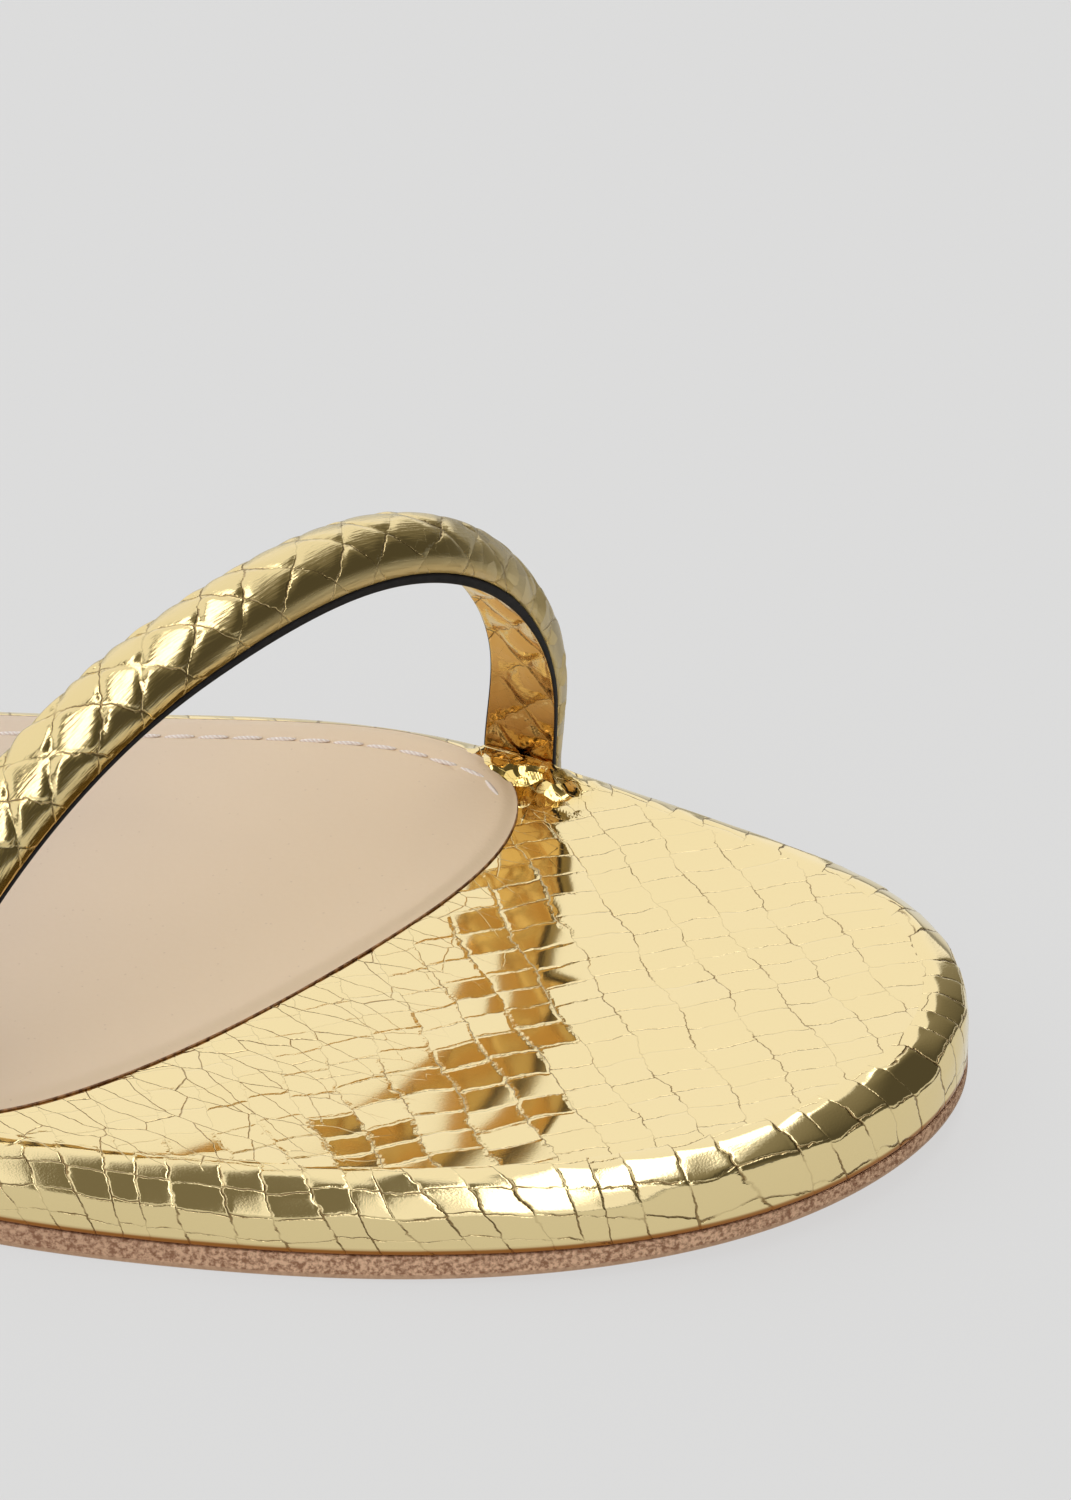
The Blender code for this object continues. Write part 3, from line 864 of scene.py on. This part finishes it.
class Wire:
    """Output of a node. Arithmetic with it adds maths nodes to its tree."""

    def __init__(self, socket):
        self.socket = socket
        self.tree = socket.id_data

    def maths(self, operation, *others):
        kind = "ShaderNodeMath" if self.socket.type == "VALUE" else "ShaderNodeVectorMath"
        return add(self.tree, kind, dict(enumerate((self, *others))), operation=operation)

    def __add__(self, other):
        return self.maths("ADD", other)

    def __sub__(self, other):
        return self.maths("SUBTRACT", other)

    def __rsub__(self, other):
        return self.maths("MULTIPLY_ADD", -1.0, other)

    def __mul__(self, other):
        return self.maths("MULTIPLY", other)

    def axes(self):
        outputs = new_node(self.tree, "ShaderNodeSeparateXYZ", {0: self}).outputs
        return [Wire(outputs[axis]) for axis in "XYZ"]

    def ramp(self, low, high, start=0.0, end=1.0):
        """Mapped smoothly from low..high to start..end."""
        inputs = {"Value": self, "From Min": low, "From Max": high, "To Min": start, "To Max": end}
        return add(self.tree, "ShaderNodeMapRange", inputs, "Result", interpolation_type="SMOOTHSTEP")


def give(socket, value):
    """Feeds a node's input with a wire or a plain value."""
    if isinstance(value, Wire):
        value.tree.links.new(value.socket, socket)
    else:
        socket.default_value = value


def new_node(tree, kind, inputs=None, **settings):
    node = tree.nodes.new(kind)
    for name, value in settings.items():
        setattr(node, name, value)
    for key, value in (inputs or {}).items():
        give(node.inputs[key], value)
    return node


def add(tree, kind, inputs=None, output=0, **settings):
    """Adds a node and gives one of its outputs back as a wire."""
    return Wire(new_node(tree, kind, inputs, **settings).outputs[output])


def mark(tree, name):
    return add(tree, "ShaderNodeAttribute", output="Fac", attribute_name=name)


def object_place(tree):
    return add(tree, "ShaderNodeTexCoord", output="Object")


def noise(place, scale, detail, output="Fac", roughness=0.5, **settings):
    inputs = {"Vector": place, "Scale": scale, "Detail": detail, "Roughness": roughness}
    return add(place.tree, "ShaderNodeTexNoise", inputs, output, **settings)


def mixed(share, first, second):
    """Colour mixed from the first to the second by a share."""
    node = new_node(share.tree, "ShaderNodeMix", {"Factor": share}, data_type="RGBA")
    sockets = {socket.name: socket for socket in node.inputs if socket.type == "RGBA"}
    for name, colour in (("A", first), ("B", second)):
        give(sockets[name], colour if isinstance(colour, Wire) else (*colour, 1.0))
    return Wire(next(socket for socket in node.outputs if socket.type == "RGBA"))


def raised(height, strength, distance):
    """Normal of a surface with the height on it."""
    inputs = {"Height": height, "Strength": strength, "Distance": distance}
    return add(height.tree, "ShaderNodeBump", inputs)


def new_material(name):
    material = bpy.data.materials.new(name)
    material.use_nodes = True
    return material, material.node_tree, material.node_tree.nodes["Principled BSDF"]


def feed(shader, **inputs):
    """Feeds the shader's inputs, named with underscores for spaces."""
    for name, value in inputs.items():
        give(shader.inputs[name.replace("_", " ").title().replace("Ior", "IOR")], value)


def new_group(name, inputs):
    """Empty shader node group, and its inputs as wires. An input without a value is a vector."""
    tree = bpy.data.node_groups.new(name, "ShaderNodeTree")
    for socket, value in inputs.items():
        kind = "NodeSocketVector" if value is None else "NodeSocketFloat"
        made = tree.interface.new_socket(socket, in_out="INPUT", socket_type=kind)
        if value is not None:
            made.default_value = value
    given = tree.nodes.new("NodeGroupInput").outputs
    return tree, {socket: Wire(given[socket]) for socket in inputs}


def close_group(tree, outputs):
    """Gives wires back as the outputs of a group."""
    for name in outputs:
        tree.interface.new_socket(name, in_out="OUTPUT", socket_type="NodeSocketFloat")
    new_node(tree, "NodeGroupOutput", outputs)
    return tree


def use_group(tree, group, inputs):
    """Adds a group to a tree and gives its outputs back as wires by name."""
    node = new_node(tree, "ShaderNodeGroup", inputs, node_tree=group)
    return {output.name: Wire(output) for output in node.outputs}


# Materials

def plate_cells_group():
    """Plates of a lattice: column, row, and the place in a plate between wavy and between straight lines."""
    tree, given = new_group("plate cells", {"Lattice": None, "Wander": 0.05, "Stagger": 0.35})
    lattice = given["Lattice"]
    drift = noise(lattice, 2.1, 5.0, "Color", noise_dimensions="2D") - HALVES
    wavy_u, wavy_v, _ = (lattice + drift * given["Wander"]).axes()
    u, v, _ = lattice.axes()
    column = wavy_u.maths("FLOOR")
    shift = (column * COLUMN_STEP).maths("FRACT") * given["Stagger"]
    along = wavy_v + shift
    row = along.maths("FLOOR")
    return close_group(tree, {
        "Column": column,
        "Row": row,
        "In U": wavy_u.maths("FRACT") - 0.5,
        "In V": along.maths("FRACT") - 0.5,
        "Flat U": u - column - 0.5,
        "Flat V": v + shift - row - 0.5,
    })


def scale_plates_group(cells):
    """Plates of the scale leather on a lattice: height in millimetres and the mask of the grooves."""
    tree, given = new_group("scale plates", {
        "Lattice": None, "Wander": 0.05, "Stagger": 0.35, "Groove Width": 0.02, "Groove Depth": 0.02,
        "Tilt": 0.1, "Shingle": 0.0, "Grain Along": 12.0, "Grain Across": 12.0, "Grain": 0.002,
        "Roll": 0.01, "Roll Width": 0.17, "Line Strength": 1.0,
    })
    lattice = given["Lattice"]
    cell = use_group(tree, cells, {key: given[key] for key in ("Lattice", "Wander", "Stagger")})
    near_u, near_v = (0.5 - cell[key].maths("ABSOLUTE") for key in ("In U", "In V"))
    nearest = near_u.maths("SMOOTH_MIN", near_v, 0.06)
    fading = noise(lattice, 0.9, 2.0, noise_dimensions="2D").ramp(0.36, 0.62, 0.15, 1.0)
    groove = (1.0 - nearest.ramp(0.0, given["Groove Width"])) * fading * given["Line Strength"]
    roll = nearest.ramp(0.0, given["Roll Width"]) * given["Roll"]
    plate = add(tree, "ShaderNodeCombineXYZ", {"X": cell["Column"], "Y": cell["Row"]})
    lot = add(tree, "ShaderNodeTexWhiteNoise", {"Vector": plate}, "Color", noise_dimensions="2D")
    lot_u, lot_v, _ = lot.axes()
    tilt = ((lot_u - 0.5) * cell["Flat U"] + (lot_v - 0.5) * cell["Flat V"]) * given["Tilt"]
    rise_u = cell["Flat U"] * (PLATE_LONG * math.cos(CROSS_LINES_TURN))
    rise_v = cell["Flat V"] * (PLATE_SHORT * math.cos(LONG_LINES_TURN))
    shingle = (rise_u - rise_v) * given["Shingle"]
    u, v, _ = lattice.axes()
    brushed = add(tree, "ShaderNodeCombineXYZ", {
        "X": (u + v) * given["Grain Along"],
        "Y": (u - v) * given["Grain Across"],
    })
    grain = noise(brushed, 1.0, 3.0, noise_dimensions="2D") * given["Grain"]
    height = tilt + shingle + (grain + roll) - groove * given["Groove Depth"]
    return close_group(tree, {"Height": height, "Groove": groove})


def crumpled_facets_group():
    """Small flat facets of crumpled leather, each leaning its own way: height in millimetres."""
    tree, given = new_group("crumpled facets", {"Place": None, "Amount": 0.0})
    place = given["Place"]
    cells = new_node(tree, "ShaderNodeTexVoronoi", {"Vector": place, "Scale": FACET_FINENESS}).outputs
    off = place - Wire(cells["Position"])
    lean = Wire(cells["Color"]) - HALVES
    rise = add(tree, "ShaderNodeVectorMath", {0: off, 1: lean}, "Value", operation="DOT_PRODUCT")
    return close_group(tree, {"Height": rise * (given["Amount"] * (FACET_LEAN / MM))})


def drawn_cracks(place):
    """Mask of the long wavy cracks where the leather is drawn tight along the outer edge."""
    tree = place.tree
    drift = noise(place, 160.0, 4.0, "Color") - HALVES
    inputs = {"Vector": place, "Angle": CRACK_TURN}
    turned = add(tree, "ShaderNodeVectorRotate", inputs, rotation_type="Z_AXIS")
    at = drift.maths("MULTIPLY_ADD", CRACK_DRIFT, turned * CRACK_CELLS)
    nearest = add(
        tree, "ShaderNodeTexVoronoi", {"Vector": at, "Scale": 1.0}, "Distance",
        feature="DISTANCE_TO_EDGE", voronoi_dimensions="2D",
    )
    return nearest.ramp(CRACK_WIDTH, 0.0)


def toe_lean(cells, lattice, place, wander):
    """How much each plate on the toe leans along the sole, looked up at the plate's middle."""
    cell = use_group(place.tree, cells, {"Lattice": lattice, "Wander": wander, "Stagger": COLUMN_STAGGER})
    x, y, _ = place.axes()
    x = x + cell["Flat U"] * (-MM * PLATE_LONG * math.cos(CROSS_LINES_TURN))
    x = x + cell["Flat V"] * (MM * PLATE_SHORT * math.cos(LONG_LINES_TURN))
    y = y + cell["Flat U"] * (-MM * PLATE_LONG * math.sin(CROSS_LINES_TURN))
    y = y + cell["Flat V"] * (-MM * PLATE_SHORT * math.sin(LONG_LINES_TURN))
    lean = y.ramp(*LEAN_GROWS, 0.0, LEAN) - y.ramp(*LEAN_FALLS, 0.0, LEAN_FALL)
    across = x * MIRROR_ACROSS[0] + y * MIRROR_ACROSS[1]
    spread = across.ramp(*MIRROR_SPREADS, -MIRROR_SPREAD, MIRROR_SPREAD)
    turned = across.ramp(*PLATES_TURN, 0.0, PLATES_TURNED) * across.ramp(*PLATES_TURN_BACK)
    return lean + (spread - turned)


def gold_leather(
    name, groups, foil, plates, roughness, edge_tilt=None, painted_light=None, worn=False, wrapped=False,
):
    """Mirror gold foil on embossed scale leather.

    plates sets the inputs of the plates, and edge_tilt how much they lean this way and that over the edge.
    The mark and colour given for painted light paint a painted reflection of the insole on the strap's
    fringe, and painted shade with gold-on-gold reflection on the lining's foot. Worn foil loses its metal.
    The plates of the wrapped footbed lean on the toe, it is cracked along its outer edge, and it is tucked
    under, where its colour is painted darker brown as painted shade.
    """
    material, tree, shader = new_material(name)
    lattice = add(tree, "ShaderNodeUVMap", output="UV", uv_map="scales")
    place = object_place(tree)
    crumple = mark(tree, "crumple")
    inputs = {"Lattice": lattice, **plates}
    if edge_tilt is not None:
        inputs["Tilt"] = mark(tree, "edge").ramp(0.0, 1.0, plates["Tilt"], edge_tilt)
    if wrapped:
        top = mark(tree, "edge").ramp(1.0, 0.0)
        cracked = place.axes()[0].ramp(*CRACKED_BEHIND) * top
        inputs["Shingle"] = toe_lean(groups["cells"], lattice, place, plates["Wander"]) * top
        inputs["Line Strength"] = cracked.ramp(0.0, 1.0, 1.0, 0.2) * top.ramp(0.0, 1.0, 1.6, 1.0)
        for key, flat_value, edge_value in WRAP_PLATES:
            inputs[key] = top.ramp(0.0, 1.0, edge_value, flat_value)
    plate = use_group(tree, groups["plates"], inputs)
    facets = use_group(tree, groups["facets"], {"Place": place, "Amount": crumple})
    height = plate["Height"] + facets["Height"]
    colour = mixed(plate["Groove"], foil, GROOVE_COLOUR)
    # painted light: a painted reflection on the strap's fringe, painted shade and reflection on the lining's
    # foot
    if painted_light is not None:
        marked, painted_colour = painted_light
        colour = mixed(mark(tree, marked), colour, painted_colour)
    if wrapped:
        crack = drawn_cracks(place) * cracked
        height = height - crack * CRACK_DEPTH
        colour = mixed(crack, colour, GROOVE_COLOUR)
        # painted shade: darker brown where the wrap tucks under against the outsole
        colour = mixed(mark(tree, "tuck"), colour, TUCK_SHADE_COLOUR)
        colour = mixed(crumple * 0.7, colour, CRUMPLE_COLOUR)
    metal = 1.0
    if worn:
        wear = mark(tree, "worn")
        colour = mixed(wear * 0.7, colour, WORN_COLOUR)
        roughness = wear.ramp(0.0, 1.0, roughness, WORN_ROUGHNESS)
        metal = wear.ramp(0.0, 1.0, 1.0, WORN_METAL)
    shine = plate["Groove"].ramp(0.0, 1.0, roughness, GROOVE_ROUGHNESS)
    feed(shader, base_color=colour, metallic=metal, roughness=shine, normal=raised(height, 1.0, MM))
    return material


def nude_leather():
    """Smooth nude leather with cloudy colour, pores and a fine grain, yellower towards the strap."""
    material, tree, shader = new_material("nude_leather")
    place = object_place(tree)
    grain = noise(place, 1900.0, 4.0)
    pore = add(tree, "ShaderNodeTexVoronoi", {"Vector": place, "Scale": 700.0}, "Distance").ramp(0.12, 0.0)
    colour = mixed(noise(place, 28.0, 2.0).ramp(0.3, 0.7), (0.675, 0.545, 0.44), (0.765, 0.615, 0.48))
    colour = mixed(place.axes()[0].ramp(0.01, 0.06, 0.0, 0.7), colour, (0.885, 0.69, 0.46))
    colour = mixed(pore * 0.35, colour, (0.52, 0.37, 0.26))
    normal = raised(grain - pore * 0.6, 0.3, 0.1 * MM)
    feed(shader, base_color=colour, roughness=grain.ramp(0.3, 0.7, 0.48, 0.62), normal=normal)
    return material


def cut_edge_leather():
    """Cut edge of the insole, stained brown."""
    material, tree, shader = new_material("cut_edge_leather")
    fibre = noise(object_place(tree), 1500.0, 3.0)
    colour = mixed(fibre.ramp(0.35, 0.65), (0.15, 0.06, 0.024), (0.50, 0.26, 0.125))
    feed(shader, base_color=colour, roughness=0.75, normal=raised(fibre, 0.5, 0.1 * MM))
    return material


def stitch_thread():
    """Pale pink sewing thread, its twist as slanted ridges."""
    material, tree, shader = new_material("stitch_thread")
    inputs = {"Vector": object_place(tree), "Scale": 1100.0, "Distortion": 1.0}
    twist = add(tree, "ShaderNodeTexWave", inputs, "Fac", bands_direction="DIAGONAL")
    colour = mixed(twist, (0.80, 0.67, 0.61), (0.96, 0.88, 0.83))
    feed(shader, base_color=colour, roughness=0.6, normal=raised(twist, 0.4, 0.1 * MM))
    return material


def sole_leather():
    """Raw sole leather with a fibrous, pitted edge and a smoother, paler rim at the floor."""
    material, tree, shader = new_material("sole_leather")
    place = object_place(tree)
    fibre = noise(place, 2000.0, 5.0, roughness=0.65)
    rim = mark(tree, "rim")
    speckle = mixed(fibre.ramp(0.37, 0.62), (0.25, 0.11, 0.055), (0.78, 0.50, 0.33))
    speckle = mixed(place.axes()[0].ramp(0.075, 0.045, 0.0, 0.25), speckle, (0.17, 0.06, 0.03))
    plain = mixed(noise(place, 260.0, 2.0), (0.42, 0.245, 0.145), (0.54, 0.33, 0.205))
    colour = mixed(rim.ramp(0.0, 1.0, 0.12, 0.8), speckle, plain)
    normal = raised(fibre * rim.ramp(0.0, 1.0, 1.0, 0.25), 0.6, 0.2 * MM)
    feed(shader, base_color=colour, roughness=rim.ramp(0.0, 1.0, 0.85, 0.55), normal=normal)
    return material


def black_edge_paint():
    material, tree, shader = new_material("black_edge_paint")
    drag = noise(object_place(tree), 900.0, 3.0)
    colour = mixed(drag, (0.008, 0.008, 0.01), (0.03, 0.028, 0.032))
    normal = raised(drag, 0.5, 0.1 * MM)
    feed(shader, base_color=colour, roughness=0.6, specular_ior_level=0.15, normal=normal)
    return material


# Studio

def camera_back():
    return Vector((
        math.sin(CAMERA_AZIMUTH) * math.cos(CAMERA_ELEVATION),
        -math.cos(CAMERA_AZIMUTH) * math.cos(CAMERA_ELEVATION),
        math.sin(CAMERA_ELEVATION),
    ))


def build_camera():
    data = bpy.data.cameras.new("camera")
    data.lens = CAMERA_LENS
    data.sensor_width = CAMERA_SENSOR
    camera = bpy.data.objects.new("camera", data)
    bpy.context.collection.objects.link(camera)
    back = camera_back()
    camera.location = Vector(in_metres(CAMERA_AIM)) + back * CAMERA_DISTANCE * MM
    camera.rotation_euler = (-back).to_track_quat("-Z", "Y").to_euler()
    bpy.context.scene.camera = camera


def build_floor():
    """Pale floor, even to the camera; in the gold it is darker towards the toe and behind the shoe."""
    bm = bmesh.new()
    bmesh.ops.create_grid(bm, x_segments=1, y_segments=1, size=FLOOR_HALF)
    material, tree, shader = new_material("pale_floor")
    x, y, _ = object_place(tree).axes()
    behind = y.ramp(0.05, 0.14) * x.ramp(0.0, 0.06)
    mirrored = x.ramp(0.2, 0.42, FLOOR_LIGHT, 0.05) * (1.0 - behind * 0.65)
    seen = add(tree, "ShaderNodeLightPath", output="Is Camera Ray")
    strength = (seen * FLOOR_LIGHT).maths("MAXIMUM", mirrored)
    glow = mixed(seen, (1.0, 0.99, 0.92), WHITE)
    feed(shader, base_color=(0.12, 0.12, 0.12, 1.0), roughness=0.9, specular_ior_level=0.0)
    feed(shader, emission_color=glow, emission_strength=strength)
    new_piece("floor", bm, [material])


def build_light():
    """White walls behind and on the left, a long softbox overhead, and a dark right side.

    The directions are spread on a disc, with straight up in its middle and the horizon as its rim.
    """
    world = bpy.data.worlds.new("studio")
    world.use_nodes = True
    bpy.context.scene.world = world
    tree = world.node_tree
    tree.nodes.clear()
    x, y, z = add(tree, "ShaderNodeTexCoord", output="Generated").axes()
    flat = (1.0 - z * z).maths("MAXIMUM", 1e-6).maths("SQRT")
    spread = (z.maths("ARCCOSINE") * (2.0 / math.pi)).maths("DIVIDE", flat)
    right = x * spread
    back = y * spread
    front = (back * -1.0 - 0.5).maths("MAXIMUM", 0.0)
    bow = back * back * 0.12 + front * front * 4.0
    past = right - (back * -0.27 + 0.19 + bow)
    wall = past.ramp(-0.04, 0.04, WALL_LIGHT, RIGHT_LIGHT) - past.ramp(0.02, 0.36, 0.0, RIGHT_FALL)
    glow = z.ramp(0.22, 0.02, 0.0, LOW_GLOW) * past.ramp(0.0, 0.1) * back.ramp(0.5, 0.1)
    gap = right.ramp(-0.16, -0.11) * right.ramp(0.12, 0.06) * back.ramp(0.2, 0.1)
    walls = (wall + glow) * (1.0 - gap * GAP_DIMMING)
    box = past.ramp(-0.24, -0.19) * past.ramp(0.0, -0.05) * back.ramp(0.32, 0.24) * back.ramp(-0.72, -0.62)
    lit = walls.maths("MAXIMUM", box * SOFTBOX_LIGHT)
    seen = add(tree, "ShaderNodeLightPath", output="Is Camera Ray")
    level = add(tree, "ShaderNodeMix", {"Factor": seen, "A": lit, "B": BACKDROP_LIGHT}, "Result")
    tint = mixed(level.ramp(0.12, 0.66), (1.0, 0.9, 0.62), WHITE)
    background = add(tree, "ShaderNodeBackground", {"Color": tint, "Strength": level})
    new_node(tree, "ShaderNodeOutputWorld", {"Surface": background})
    bpy.context.scene.view_settings.view_transform = "Standard"


def dress():
    cells = plate_cells_group()
    groups = {"cells": cells, "plates": scale_plates_group(cells), "facets": crumpled_facets_group()}
    strap_plates = {"Stagger": 0.0, "Groove Width": 0.03, "Groove Depth": 0.06, "Wander": 0.26}
    sole_gold = gold_leather(
        "gold_scale_leather", groups, SOLE_FOIL, {"Wander": 0.24, "Tilt": 0.5}, roughness=0.07,
        edge_tilt=0.22, wrapped=True,
    )
    # the strap's lower edge carries a painted reflection of the insole
    strap_gold = gold_leather(
        "gold_strap_leather", groups, STRAP_FOIL,
        {**strap_plates, "Roll": 0.03, "Grain Along": 1.2, "Grain Across": 13.0, "Grain": 0.03, "Tilt": 0.3},
        roughness=0.13, edge_tilt=0.7, painted_light=("fringe_reflection", FRINGE_REFLECTION_COLOUR), worn=True,
    )
    # the lining's foot is painted darker, as painted shade and gold-on-gold reflection
    lining_gold = gold_leather(
        "gold_lining_leather", groups, LINING_FOIL,
        {**strap_plates, "Roll": 0.08, "Grain Along": 9.0, "Grain Across": 1.5, "Grain": 0.02, "Tilt": 1.4},
        roughness=0.1, painted_light=("low", LOW_SHADE_AND_REFLECTION_COLOUR),
    )
    dressed = (
        # piece, node it stands for, slot
        (build_outsole(sole_leather()), "outsole", "sole_leather"),
        (build_footbed(sole_gold), "footbed", "gold_scale_leather"),
        (build_insole(nude_leather(), cut_edge_leather()), "insole", "nude_leather"),
        (build_stitches(stitch_thread()), None, "nude_leather"),
        (build_strap(strap_gold), "strap", "gold_strap_leather"),
        (build_lining(lining_gold, black_edge_paint()), "strap_lining", "gold_lining_leather"),
    )
    for piece, node, slot in dressed:
        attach(piece, "root")
        if node is not None:
            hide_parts(node)


build_camera()
build_floor()
build_light()
dress()
